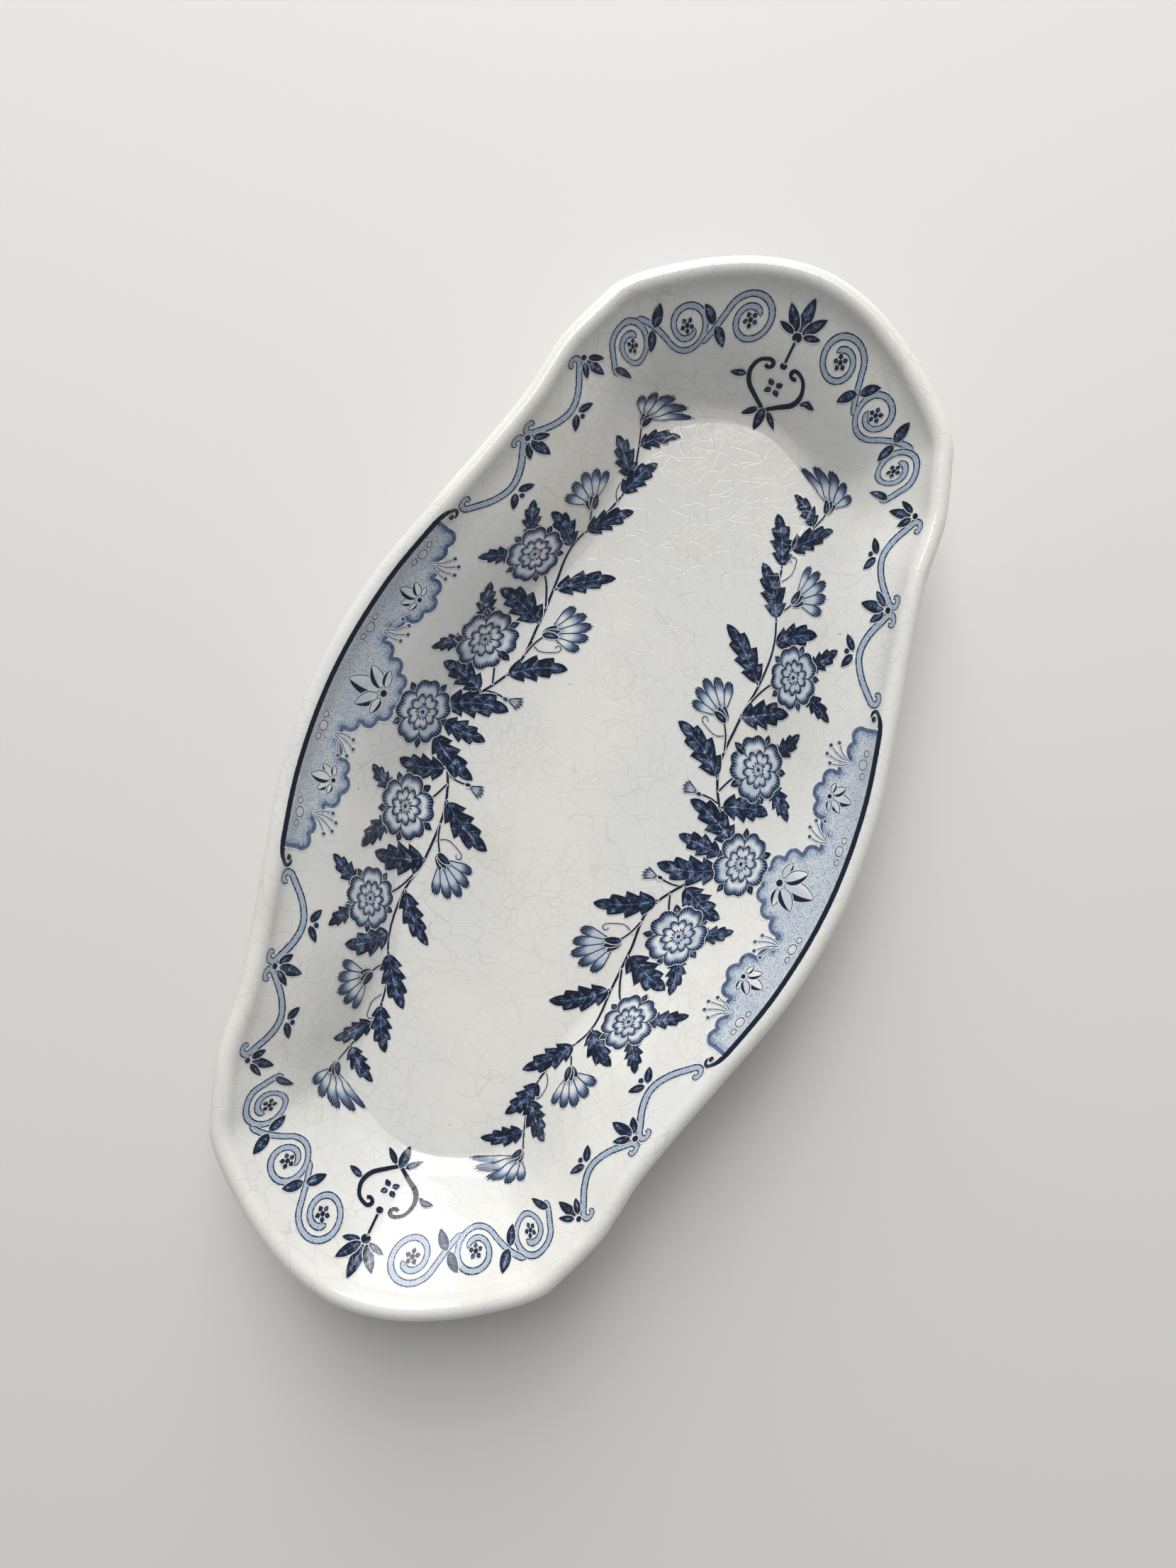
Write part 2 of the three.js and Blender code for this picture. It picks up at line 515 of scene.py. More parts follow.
def rimTable():  # along the rim from the middle of a long side towards the end and past it
    turns = np.linspace(*sheets["rimTurns"])
    lines = [fallLine(t) for t in turns]
    line = np.vstack([pointsAt(1, way, places) for places, way in lines])
    along = wayAlong(line)
    along -= np.interp(-sheets["sideMiddle"], -turns, along)
    table = []
    for value in np.arange(sheets["rimFrom"], along[-1], sheets["step"]):
        t = np.interp(value, along, turns)
        places, way = fallLine(t)
        past = np.outer(np.maximum(downs - way[-1], 0), unit(places[-1] - places[0]))
        table.append(pointsAt(downs, way, places) + past)
    return np.array(table), float(np.interp(0, -turns, along))


sideTable = crossTable(np.linspace(*sheets["sideTurns"]), 0, sheets["sideReach"])
endTable = crossTable(np.linspace(*sheets["endTurns"]), 1, sheets["endReach"])
rimPlaces, rimEnd = rimTable()  # rimEnd is how far along the middle of the end lies
print("rim quarter", round(rimEnd, 1), "mm")


def onSide(flat):
    along, down = flat.T
    return np.column_stack([along, readTable(sideTable, -sheets["sideReach"], along, down)])


def onEnd(flat):
    along, down = flat.T
    return np.column_stack([readTable(endTable, -sheets["endReach"], along, down), along])


def onRim(flat):
    along, down = flat.T
    return readTable(rimPlaces, sheets["rimFrom"], along, down)


films = {}


def addFilm(kind, flat, edge, sheet, mirror, tone):
    # flat: places on the sheet, in rows across; edge: how far each is inside the film's edge
    across, along = edge.shape
    bpy.ops.mesh.primitive_grid_add(x_subdivisions=along - 1, y_subdivisions=across - 1, size=0.01)
    film = bpy.context.object
    plan = sheet(flat.reshape(-1, 2)) * mirror * mm
    high = np.full((len(plan), 1), 2 * dish["height"] * mm)  # over the dish, to be dropped on it
    film.data.vertices.foreach_set("co", np.hstack([plan, high]).ravel())
    film.data.uv_layers[0].name = "shape"
    spots = film.data.uv_layers.new(name="edge").uv
    corners = np.zeros(len(film.data.loops), np.int32)
    film.data.loops.foreach_get("vertex_index", corners)
    values = np.column_stack([np.full(len(corners), tone), edge.ravel()[corners]])
    spots.foreach_set("vector", values.ravel())
    # films of one kind may cross, so they take turns on a few thin layers
    layer = len(films.setdefault(kind, [])) % ink["layers"]
    group = film.vertex_groups.new(name="layer")
    group.add(list(range(len(plan))), layer / ink["layers"], "REPLACE")
    films[kind].append(film)
    return film


def evenly(fine, step=0.7):  # the same path with its points evenly spaced
    way = wayAlong(fine)
    count = max(int(way[-1] / step), 3) + 1
    return pointsAt(np.linspace(0, way[-1], count), way, fine)


def throughPoints(points, step=0.7):  # a smooth path through the points
    points = [np.array(point, float) for point in points]
    fine = np.array([openSpline(points, t)[0] for t in np.linspace(0, 1, 24 * len(points))])
    return evenly(fine, step)


def sideways(path):  # the way across a path at each of its points
    along = np.gradient(path, axis=0)
    along /= np.linalg.norm(along, axis=1)[:, None]
    return np.column_stack([-along[:, 1], along[:, 0]])


def strip(kind, path, half, sheet, mirror, tone=0.5, columns=2):
    # half is the ink's half width along the path; the film is wider by the halo
    half = np.broadcast_to(half, len(path)) + ink["halo"]
    spread = np.linspace(-1, 1, columns + 1)
    flat = path[None] + spread[:, None, None] * (sideways(path) * half[:, None])[None]
    edge = (1 - np.abs(spread))[:, None] * half[None]
    addFilm(kind, flat, edge, sheet, mirror, tone)


def ends(count, share=0.12):  # 1 along a stroke, and 0 at its ends
    t = np.linspace(0, 1, count)
    return np.sqrt(np.clip(np.minimum(t, 1 - t) / share, 0, 1))


def stroke(points, width, sheet, mirror, tone=0.5, share=0.12):  # a line of ink
    path = points if isinstance(points, np.ndarray) else throughPoints(points)
    strip("lines", path, width / 2 * ends(len(path), share), sheet, mirror, tone)


def fan(kind, base, turn, outline, sheet, mirror, spread=360, tone=0.5, rows=9):
    # a round or fan-shaped film: outline gives the ink's radius at shares round it
    share = np.linspace(0, 1, len(outline))
    reach = np.array(outline) + ink["halo"]
    radius = np.linspace(0, 1, rows)[:, None] * reach[None]
    flat = base + radius[..., None] * ray(turn + spread * (share - 0.5))
    edge = reach[None] - radius
    if spread < 360:
        side = np.radians(spread) * np.minimum(share, 1 - share)
        edge = np.minimum(edge, radius * side[None] + 0.02)
    film = addFilm(kind, flat, edge, sheet, mirror, tone)
    editMode(film)
    bpy.ops.mesh.select_all(action="SELECT")
    bpy.ops.mesh.remove_doubles(threshold=1e-6)
    objectMode(film)


def dot(spot, radius, sheet, mirror, tone=0.5, kind="lines"):
    fan(kind, spot, 0, [radius] * 11, sheet, mirror, tone=tone, rows=3)


def curl(path, radius, side, sweep=300, inner=0.3):  # carries a path on into a closing spiral
    away = unit(path[-1] - path[-2])
    out = side * np.array([-away[1], away[0]])
    t = np.linspace(0, 1, 24)[1:]
    turns = math.degrees(math.atan2(-out[1], -out[0])) + side * sweep * t
    shrink = radius * (1 - (1 - inner) * t)
    return np.vstack([path, path[-1] + radius * out + shrink[:, None] * ray(turns)])


def curled(points, first, last):  # curls at either end, each given as its radius and side
    path = throughPoints(points, 0.4)
    path = curl(path[::-1], first[0], -first[1])[::-1] if first else path
    path = curl(path, *last) if last else path
    return evenly(path, 0.55)


# each density tells how much ink there is: at a place on the dish, along and across the film,
# with the film's own tone and the distance from the ink's edge
def lineDensity(place, along, across, tone, edge):
    return tone * 1.15 + place.cloud(1.6, 2, 8) * 0.3 + place.cloud(0.5, 1, 3) * 0.2 - 0.2


def leafDensity(place, along, across, tone, edge):  # dark, worn in places, with paler veins
    off = across.fold()
    midrib = off.below(0.02, 0.09) * along.below(0.75, 0.95)
    veins = (along * 38 - off * 8).wave().above(0.86, 1.0) * off.below(0.6, 0.9)
    worn = place.cloud(8, 1, 17) * 0.4 + 0.15
    mottle = place.cloud(1.7, 4).above(0.4, 0.62) * worn
    mottle = mottle + place.cloud(0.6, 1, 5).above(0.45, 0.62) * 0.14
    return 1.1 - mottle - (midrib * 0.34).most(veins * 0.25) + edge.below(0.2, 0.8) * 0.22


def leaf(base, turn, length, sheet, mirror, bend=12, wide=0.42, teeth=4, kind="leaves", tone=0.5):
    count = int(length / (0.3 if teeth else 0.55)) + 1
    t = np.linspace(0, 1, count)
    way = np.cumsum(ray(turn + bend * (2 * t - 1)), axis=0)
    path = base + (way - way[0]) * length / count
    half = length * wide / 2 * 2.72 * t ** 0.62 * (1 - t) ** 0.85  # 2.72 makes the widest place 1
    if teeth:
        half = half * (1.12 - 0.5 * (1 - (t * teeth) % 1) * np.clip(4 * t, 0, 1))
    strip(kind, path, half, sheet, mirror, tone, columns=4)


def hatching(place, along, count):  # fine uneven lines that run out from the middle of a flower
    return (along * 2 * math.pi * count).wave() * (place.cloud(0.9, 1, 3) + 0.4)


blossom = {
    "petals": 5,
    "waist": 0.3,  # how far the outline draws in between petals, as a share of the radius
    "notch": 0.08,  # and at a petal's tip
    "heart": 0.2,
    "young": 0.6,  # how far the inner petals reach
    "hatches": 62,
    "stamens": 14,
    "sepal": 0.26,  # its length, as a share of the flower's width
    "sepalFrom": 0.31,
}


def blossomDensity(place, along, across, tone, edge):
    # two rounds of pale petals with dark outlines and hatched ends
    petals = blossom["petals"]
    reach = tone * 5  # millimetres from the middle to the edge: tone is the width in centimetres
    hatch = hatching(place, along, blossom["hatches"])
    off = (along * petals).fold()
    beside = (1 - off) * across * reach * (math.pi / petals)
    amount = across.above(0.64, 0.97) * (hatch * 0.6 + 0.66)
    amount = amount + across.below(0.56, 0.66) * 0.25
    amount = amount.most(beside.below(0.1, 0.26) * 0.85).most(edge.below(0.18, 0.4) * 0.95)
    inner = (along * petals + 0.5).fold()
    top = blossom["young"] - inner ** 2.5 * 0.14
    left = (top - across) * reach  # millimetres inside a young petal's end
    young = left.below(0.0, 1.7) * (hatch * 0.6 + 0.6)
    beside = (1 - inner) * across * reach * (math.pi / petals)
    young = young.most(beside.below(0.08, 0.24) * 0.8).most(left.below(0.2, 0.36) * 0.92)
    amount = amount + (young - amount) * left.above(-0.02, 0.02)
    heart = blossom["heart"]
    stamens = (along * 2 * math.pi * blossom["stamens"]).wave().above(0.4, 0.6)
    ring = across.above(heart, heart + 0.02) * across.below(heart + 0.06, heart + 0.08)
    seeds = 0.16 + place.cloud(0.5, 1).above(0.5, 0.56) * 0.2
    seeds = seeds.most(across.below(0.05, 0.08) * 0.95)
    seeds = seeds.most(across.above(heart - 0.04, heart - 0.02) * 0.7)
    amount = amount + (seeds - amount) * across.below(heart, heart + 0.01)
    return amount.most(ring * stamens * 0.95)


def drawBlossom(spot, size, turn, flip):
    petals = blossom["petals"]
    for k in range(petals):  # sepals between the petals
        direction = turn + 360 / petals * k
        base = spot + ray(direction, size * blossom["sepalFrom"])
        leaf(base, direction, size * blossom["sepal"], onSide, flip, 0, 0.5, 0)
    share = np.linspace(0, petals, petals * 14 + 1)
    off = np.abs(share % 1 - 0.5) * 2  # 0 on a petal's middle line, 1 between petals
    notch = blossom["notch"] * np.exp(-((off / 0.2) ** 2))
    outline = size / 2 * (1 - blossom["waist"] * off ** 3.2 - notch)
    fan("blossoms", spot, turn + 180, outline, onSide, flip, tone=size / 10)


pink = {
    "petals": 5,
    "spread": 112,  # degrees
    "waist": 0.2,
    "teeth": 25,  # along the whole fan
    "toothDepth": 0.05,
    "hatches": 30,
    "calyx": 0.44,  # length of its leaves, as a share of the flower's
}


def pinkDensity(place, along, across, tone, edge):
    petals = pink["petals"]
    hatch = hatching(place, along, pink["hatches"])
    off = (along * petals).fold()
    beside = (1 - off) * across * tone * (5 * math.radians(pink["spread"]) / petals)
    amount = across.above(0.52, 0.97) * (hatch * 0.6 + 0.62)
    amount = amount + across.below(0.26, 0.5) * 0.4
    return amount.most(beside.below(0.1, 0.26) * 0.85).most(edge.below(0.15, 0.36) * 0.95)


def drawPink(base, turn, size, flip, spread=pink["spread"]):  # a flower from the side, in its calyx
    share = np.linspace(0, 1, 61)
    off = np.abs((share * pink["petals"]) % 1 - 0.5) * 2
    teeth = pink["toothDepth"] * np.abs((share * pink["teeth"]) % 1 - 0.5) * 2
    sides = 0.1 * np.abs(share - 0.5) * 2
    outline = size * (0.97 - pink["waist"] * off ** 3 - teeth - sides)
    fan("pinks", base, turn, outline, onSide, flip, spread=spread, tone=size / 10)
    for side in (-1, 0, 1):
        direction = turn + side * spread * 0.24
        start = base - ray(turn, size * 0.09)
        leaf(start, direction, size * pink["calyx"], onSide, flip, side * 8, 0.42, 0, "calyx")


border = {
    "lineHalf": 38.5,  # half length of the dark line under the lip
    "lineDown": 1.05,
    "lineWidth": 1.35,
    "tail": [(-0.5, 0), (2.4, 0.3), (4.2, 1.5)],  # from the line's end to where it curls
    "fillTop": 1.5,
    "fillPast": 0.6,  # how far the fill goes on past the line's end
    "bandDepth": 4.8,
    "pendants": [(0, 9.0, 13.0), (22.5, 6.6, 7.4), (36.5, 4.0, 2.6)],  # middle, half width, depth
    "lobe": 4.6,  # from one point between lobes to the next
    "lobeBack": 0.134,  # how far a lobe's middle lies behind them, as a share of that
    "outline": 0.95,
    "rosette": [(-90, 8.6), (-50, 6.6), (-130, 6.6), (-12, 4.8), (-168, 4.8)],  # turn, length
    "rosetteSizes": [1.0, 0.64],  # in the middle pendant and in those beside it
    "roundels": [11.8, 31.2],
    "roundel": [(0, 2.7, 1.3), (2.5, 2.3, 0.85), (-2.5, 2.3, 0.85)],  # aside, down, radius
    "sprigs": [((12.6, 7.4), 62), ((30.8, 7.6), 74)],  # foot and turn
    "sprigFan": [-30, -10, 10, 30],
    "sprigLength": 6.6,
}


def fillDensity(place, along, across, tone, edge):  # a stippled ground with a dark outline
    stipple = place.cells(0.42, "F1", "Distance").below(0.22, 0.46)
    fill = 0.12 + stipple * 0.3 + edge.below(0.9, 2.4) * 0.2
    wide = border["outline"]
    return fill.most(edge.below(wide - 0.12, wide + 0.12) * (place.cloud(0.9, 2, 8) * 0.5 + 0.34))


def reserveDensity(place, along, across, tone, edge):  # white inside, with a bold shade on one side
    rim = edge.below(0.14, 0.32) * 0.8
    return rim.most(across.below(0.3, 0.36) * tone)


def insideBy(spots, outline):  # how far each spot lies inside a closed outline, below 0 outside it
    nearest = np.full(len(spots), np.inf)
    inside = np.zeros(len(spots), bool)
    for start, stop in zip(outline, np.roll(outline, -1, axis=0)):
        way = stop - start
        away = spots - start
        share = np.clip(away @ way / (way @ way), 0, 1)
        nearest = np.minimum(nearest, np.linalg.norm(away - share[:, None] * way, axis=1))
        if way[1]:
            crossed = (start[1] > spots[:, 1]) != (stop[1] > spots[:, 1])
            inside ^= crossed & (away[:, 0] < away[:, 1] / way[1] * way[0])
    return np.where(inside, nearest, -nearest)


def plate(kind, outline, lobes, top, sheet, mirror, step=0.5):
    # a film of an outline and round lobes, cut off straight at the top: a grid of which
    # only the cells on the ink and close to it are kept
    def within(spots):
        parts = [radius - np.linalg.norm(spots - centre, axis=1) for centre, radius in lobes]
        return np.max([insideBy(spots, outline), *parts], axis=0)

    rim = [centre + ray(np.arange(0, 360, 4), radius) for centre, radius in lobes]
    rim += [np.linspace(*side, 40) for side in zip(outline, np.roll(outline, -1, axis=0))]
    rim = np.vstack(rim)
    beside = np.min([within(rim + ray(turn, 0.15)) for turn in range(0, 360, 45)], axis=0)
    rim = rim[(beside < -0.05) & (within(rim) < 0.01)]  # only what lies on the whole shape's edge
    margin = max(radius for centre, radius in lobes) + step
    low, high = outline.min(axis=0) - margin, outline.max(axis=0) + margin
    low[1] = top
    spots = [np.arange(start, stop, step) for start, stop in zip(low, high)]
    flat = np.stack(np.meshgrid(*spots), axis=-1)
    spots = flat.reshape(-1, 2)
    nearest = np.min([np.linalg.norm(spots - point, axis=1) for point in rim], axis=0)
    edge = np.where(within(spots) > 0, nearest, -nearest).reshape(flat.shape[:2]) + ink["halo"]
    film = addFilm(kind, flat, edge, sheet, mirror, 0.5)
    far = edge.ravel() < -step
    bm = editMode(film)
    bpy.ops.mesh.select_mode(type="VERT")
    bpy.ops.mesh.select_all(action="DESELECT")
    for vertex in bm.verts:
        vertex.select_set(bool(far[vertex.index]))
    bpy.ops.mesh.delete(type="VERT")
    objectMode(film)


def borderDepth(a):  # of the fill at a place along the rim: a band that ends thin, and pendants
    depth = border["bandDepth"] * min(1, max(0.25, (42 - abs(a)) / 8))
    for middle, half, extra in border["pendants"]:
        depth += extra * math.exp(-(abs(abs(a) - middle) / half) ** 3.4)
    return depth


def scallops():  # the points between the lobes of the border's lower edge, and the lobes
    reach = border["lineHalf"] + border["fillPast"]
    top = border["fillTop"]
    fine = np.array([(a, top + borderDepth(a)) for a in np.linspace(-reach, reach, 900)])
    way = wayAlong(fine)
    count = 2 * round(way[-1] / border["lobe"] / 2) + 1
    cusps = pointsAt(np.linspace(0, way[-1], count + 1), way, fine)
    lobes = []
    for start, stop in zip(cusps, cusps[1:]):
        chord = stop - start
        out = np.array([-chord[1], chord[0]])
        centre = (start + stop) / 2 - out * border["lobeBack"]
        lobes.append((centre, float(np.linalg.norm(start - centre))))
    return cusps, lobes


def drawBorder(flip):
    cusps, lobes = scallops()
    outline = np.vstack([cusps, (cusps[-1, 0], -9), (cusps[0, 0], -9)])  # closed well over the top
    plate("borderFill", outline, lobes, border["fillTop"], onRim, flip)
    down = border["lineDown"]
    half = border["lineHalf"]
    bar = np.column_stack([np.linspace(-half, half, 120), np.full(120, down)])
    strip("bars", bar, border["lineWidth"] / 2, onRim, flip, 1.0, columns=6)
    for side in (-1, 1):  # the line's ends run into a small curl
        tail = throughPoints([(side * (half + a), down + d) for a, d in border["tail"]])
        tail = evenly(curl(tail, 1.15, side, 230, 0.6), 0.35)
        strip("bars", tail, np.linspace(border["lineWidth"] / 2, 0.3, len(tail)), onRim, flip, 1.0)
        dot(tail[-1], 0.7, onRim, flip, 1.0)
    for (middle, reach, extra), size in zip(border["pendants"], border["rosetteSizes"]):
        for side in (-1, 1) if middle else (1,):
            low = border["fillTop"] + border["bandDepth"] + extra - 3.6 * size - 0.6
            spot = (side * middle, low)
            for turn, length in border["rosette"]:
                start = spot + ray(turn, 1.4 * size)
                leaf(start, turn, length * size, onRim, flip, 0, 0.5, 0, "reserves", 1.0)
            dot(spot, 0.85 * size, onRim, flip, 0.95)
    for middle in border["roundels"]:
        for side in (-1, 1):
            for away, low, radius in border["roundel"]:
                spot = (side * middle + away, border["fillTop"] + low)
                dot(spot, radius, onRim, flip, 0.0, "reserves")


spray = {
    "stem": [
        (2.5, 32), (9, 38.5), (19, 42), (30, 40), (40, 36.4),
        (50, 34.2), (60, 36), (69, 36.4), (77, 33.2), (81.6, 31.4),
    ],
    "stemWidth": 0.55,
    "stalkWidth": 0.42,
    "tendrilWidth": 0.28,
    "tone": 0.95,
    "blossoms": [  # share of the stem where the stalk leaves it, middle, size, turn
        (0.16, (21.5, 32.2), 15.6, 20),
        (0.42, (43.6, 26.6), 14.2, 50),
    ],
    "pinks": [  # share of the stem, base, turn, size
        (0.27, (29.0, 43.2), 46, 10.0),
        (0.69, (60.0, 31.2), -56, 10.0),
        (1.0, (82.6, 31.0), -14, 9.2),
    ],
    "buds": [(0.13, 86, 5.0, 4.8)],  # share of the stem, turn, stalk, size
    "leaves": [  # share of the stem, turn, stalk, length
        (0.02, 70, 0.4, 14.0),
        (0.12, -82, 0.8, 13.0),
        (0.2, 58, 0.8, 14.0),
        (0.375, -75, 0.6, 14.0),
        (0.48, 44, 0.8, 13.2),
        (0.61, -72, 0.6, 12.6),
        (0.66, 36, 1.0, 12.4),
        (0.8, 20, 1.0, 11.4),
        (0.86, -60, 0.6, 11.6),
        (0.95, 50, 0.6, 9.8),
    ],
    "behind": [  # leaves that show from behind a flower: its number, turn, length
        (0, -118, 9.4), (0, -42, 9.8), (1, -124, 9.0), (1, -52, 8.6),
    ],
    "leafBend": 15,
    "leafWide": 0.48,
    "tendrils": [  # points, curl radius and side
        ([(63.6, 36.3), (66, 34.3), (69.2, 34)], (1.1, 1)),
        ([(26, 41.5), (24.6, 44.6), (26, 48)], (1.1, -1)),
    ],
}


def drawSpray(flip, seed):
    chance = np.random.default_rng(seed)

    def near(spread):
        return float(chance.uniform(-spread, spread))

    def onStem(share):
        return stem[round(share * (len(stem) - 1))]

    def fromStem(share, end, bow=0.5):  # a stalk from the stem to end
        start = onStem(share)
        way = end - start
        middle = start + way * 0.5 + np.array([way[1], -way[0]]) * 0.12 * bow
        stroke([start, middle, end], spray["stalkWidth"], onSide, flip, spray["tone"], 0.05)

    stem = throughPoints([(x + near(0.6), d + near(0.6)) for x, d in spray["stem"]])
    half = spray["stemWidth"] / 2 * np.linspace(1.15, 0.8, len(stem))
    strip("lines", stem, half, onSide, flip, spray["tone"])
    for number, turn, length in spray["behind"]:
        middle, size = spray["blossoms"][number][1:3]
        base = middle + ray(turn, size * 0.36)
        bend = math.copysign(10, turn + 90)
        leaf(base, turn + near(8), length + near(0.8), onSide, flip, bend, spray["leafWide"])
    for share, middle, size, turn in spray["blossoms"]:
        fromStem(share, middle, -1)
        drawBlossom(middle, size, turn + near(30), flip)
    for share, base, turn, size in spray["pinks"]:
        fromStem(share, base + ray(turn, 0.5))
        drawPink(base, turn + near(7), size * (1 + near(0.04)), flip)
    for share, turn, stalk, size in spray["buds"]:
        base = onStem(share) + ray(turn, stalk)
        fromStem(share, base)
        drawPink(base, turn, size, flip, 54)
    for share, turn, stalk, length in spray["leaves"]:
        turn += near(6)
        bend = math.copysign(spray["leafBend"] + near(5), turn)
        base = onStem(share) + ray(turn - bend, stalk)
        fromStem(share, base + ray(turn - bend, 0.6), 0)
        length *= 1 + near(0.09)
        leaf(base, turn, length, onSide, flip, bend, spray["leafWide"] + near(0.03))
    for points, last in spray["tendrils"]:
        stroke(curled(points, None, last), spray["tendrilWidth"], onSide, flip, 0.6, 0.03)


scrollwork = {
    "half": 0.86,  # half width of a band
    "tone": 0.62,
    "swags": [(44.8, 63.4), (66.0, 84.2)],  # from and to, along the rim
    "swagDowns": (5.4, 8.8, 10.2, 8.8, 5.4),
    "swagCurl": (1.6, -1),
    "drops": [64.7, 85.9],
    "dropLeaves": [(90, 6.4), (48, 4.6), (132, 4.6)],  # turn, length
    "pitch": 16.6,  # from coil to coil
    "units": 3,
    "middle": 12.0,
    "radius": 6.4,
    "coilFrom": 200,  # degrees
    "coilSweep": 500,
    "coilShrink": 0.62,
    "endGap": 4.6,  # from the last coil to the middle of the end
}


def bandDensity(place, along, across, tone, edge):
    dashes = place.cloud(0.7, 1, 6).above(0.42, 0.5)
    rim = edge.below(0.26, 0.4) * (0.62 + dashes * 0.4)
    stipple = place.cells(0.42, "F1", "Distance").below(0.15, 0.4)
    return (0.24 + stipple * 0.22).most(rim) * (tone + 0.4)


def drawBand(path, share, flip):  # rounded off over a share of its length at either end
    half = scrollwork["half"] * ends(len(path), share)
    strip("scrolls", path, half, onRim, flip, scrollwork["tone"])


def drawSwags(flip):  # ribbon swags that hang between small leaf drops
    for start, stop in scrollwork["swags"]:
        middle = (start + stop) / 2
        lows = scrollwork["swagDowns"]
        points = list(zip(np.linspace(start, stop, len(lows)), lows))
        drawBand(curled(points, scrollwork["swagCurl"], scrollwork["swagCurl"]), 0.05, flip)
        dot((middle, 13.4), 0.65, onRim, flip, 0.7)
        for side in (-1, 1):
            leaf((middle + side * 0.4, 11.8), 90 - side * 54, 4.4, onRim, flip, 0, 0.42, 0)
    for a in scrollwork["drops"]:
        for turn, length in scrollwork["dropLeaves"]:
            leaf(ray(turn, 1.0) + (a, 5.6), turn, length, onRim, flip, 0, 0.4, 0)
        dot((a, 5.4), 0.75, onRim, flip, 0.85)


def drawEndScrolls(flip):  # a vine scroll round the end, each coil turning the other way
    pitch, radius = scrollwork["pitch"], scrollwork["radius"]
    first = rimEnd - scrollwork["units"] * pitch - scrollwork["endGap"]
    for k in range(scrollwork["units"]):
        over = 1 if k % 2 else -1
        centre = np.array([first + pitch * (k + 0.5), scrollwork["middle"]])

        def at(x, d):  # d points towards the well in one coil and towards the lip in the next
            return centre + (x, -over * d)

        t = np.linspace(0, 1, 90)
        arms = ray(scrollwork["coilFrom"] + scrollwork["coilSweep"] * t) * (1, -over)
        shrink = radius * (1 - scrollwork["coilShrink"] * t ** 0.9)
        spiral = centre + shrink[:, None] * arms
        low = ray(50, radius)
        entry = [at(low[0] - pitch, low[1]), at(-pitch / 2 - 0.9, radius * 0.3), spiral[0]]
        if k == 0:
            entry[0] = at(-pitch / 2 - 1.4, radius * 0.55)
        entry = throughPoints(entry, 0.4)
        drawBand(evenly(np.vstack([entry[:-1], spiral]), 0.5), 0.03, flip)
        dot(centre, 0.7, onRim, flip, 1.0)
        for petal in range(5):  # a small flower in the coil
            way = 72 * petal + 20
            leaf(centre + ray(way, 0.55), way, 2.0, onRim, flip, 0, 0.62, 0)
        leaf(at(-pitch / 2 - 0.6, 1.2), over * -60, 6.4, onRim, flip, over * -10, 0.42, 0)
        if k:
            leaf(at(-pitch / 2 - 1.2, 0.8), over * 116, 6.0, onRim, flip, over * 10, 0.42, 0)


ornament = {
    "top": 13.4,  # millimetres down from the lip
    "palmette": [(-90, 8.6), (-124, 7.2), (-56, 7.2), (-156, 4.8), (-24, 4.8)],  # turn, length
    "stem": [(0, 14), (0, 17), (0, 20)],
    "knob": 20.4,
    "flower": 26.0,
    "arm": [(0.1, 32.2), (2.7, 29.8), (5.4, 26.8), (6.5, 23.4), (5.6, 20.7), (3.6, 19.9)],
    "armCurl": 1.3,
}


def drawEndOrnament(flip):  # a palmette over a heart of two scrolls
    top = (0, ornament["top"])
    for turn, length in ornament["palmette"]:
        leaf(ray(turn, 1.2) + top, turn, length, onEnd, flip, 0, 0.32, 0)
    dot(top, 1.1, onEnd, flip, 1.0)
    stroke(ornament["stem"], 0.6, onEnd, flip, 1.0, 0.01)
    dot((0, ornament["knob"]), 0.85, onEnd, flip, 1.0)
    for way in range(45, 360, 90):  # a flower of four petals in the heart
        leaf(ray(way, 0.5) + (0, ornament["flower"]), way, 2.4, onEnd, flip, 0, 0.6, 0)
    for side in (-1, 1):
        arm = [(side * x, d) for x, d in ornament["arm"]]
        arm = curled(arm, None, (ornament["armCurl"], -side))
        strip("lines", arm, 0.5 * ends(len(arm), 0.03), onEnd, flip, 1.0)
        leaf((side * 6.9, 24.6), 90 - side * 98, 4.2, onEnd, flip, 0, 0.42, 0)
        leaf((side * 1.2, 32.0), 90 - side * 50, 4.6, onEnd, flip, side * -12, 0.38, 0)
    leaf((0, 31.6), 90, 6.4, onEnd, flip, 0, 0.36, 0)


def drawSprigs(flip):  # fine sprigs that hang from the border
    for base, turn in border["sprigs"]:
        for off in border["sprigFan"]:
            tip = base + ray(turn + off, border["sprigLength"] - abs(off) * 0.05)
            middle = (base + tip) / 2 + ray(turn + off + 90, 0.5)
            stroke([base, middle, tip], 0.28, onRim, flip, 0.45)
            dot(tip, 0.45, onRim, flip, 0.55)


quarters = [(1, 1), (-1, 1), (-1, -1), (1, -1)]
for number, flip in enumerate(quarters):  # one quarter is laid out and mirrored to the others
    drawSpray(flip, number)
    drawSwags(flip)
    drawEndScrolls(flip)
    drawSprigs(flip)
for flip in ((1, 1), (1, -1)):  # the long sides, each with a flower in the middle
    drawBorder(flip)
    drawBlossom((0, 27.4), 16.0, 90, flip)
    leaf((0, 34.6), 90, 11.0, onSide, flip, 0, 0.5)
for flip in ((1, 1), (-1, 1)):  # the ends
    drawEndOrnament(flip)
print("print drawn:", {kind: len(parts) for kind, parts in films.items()})


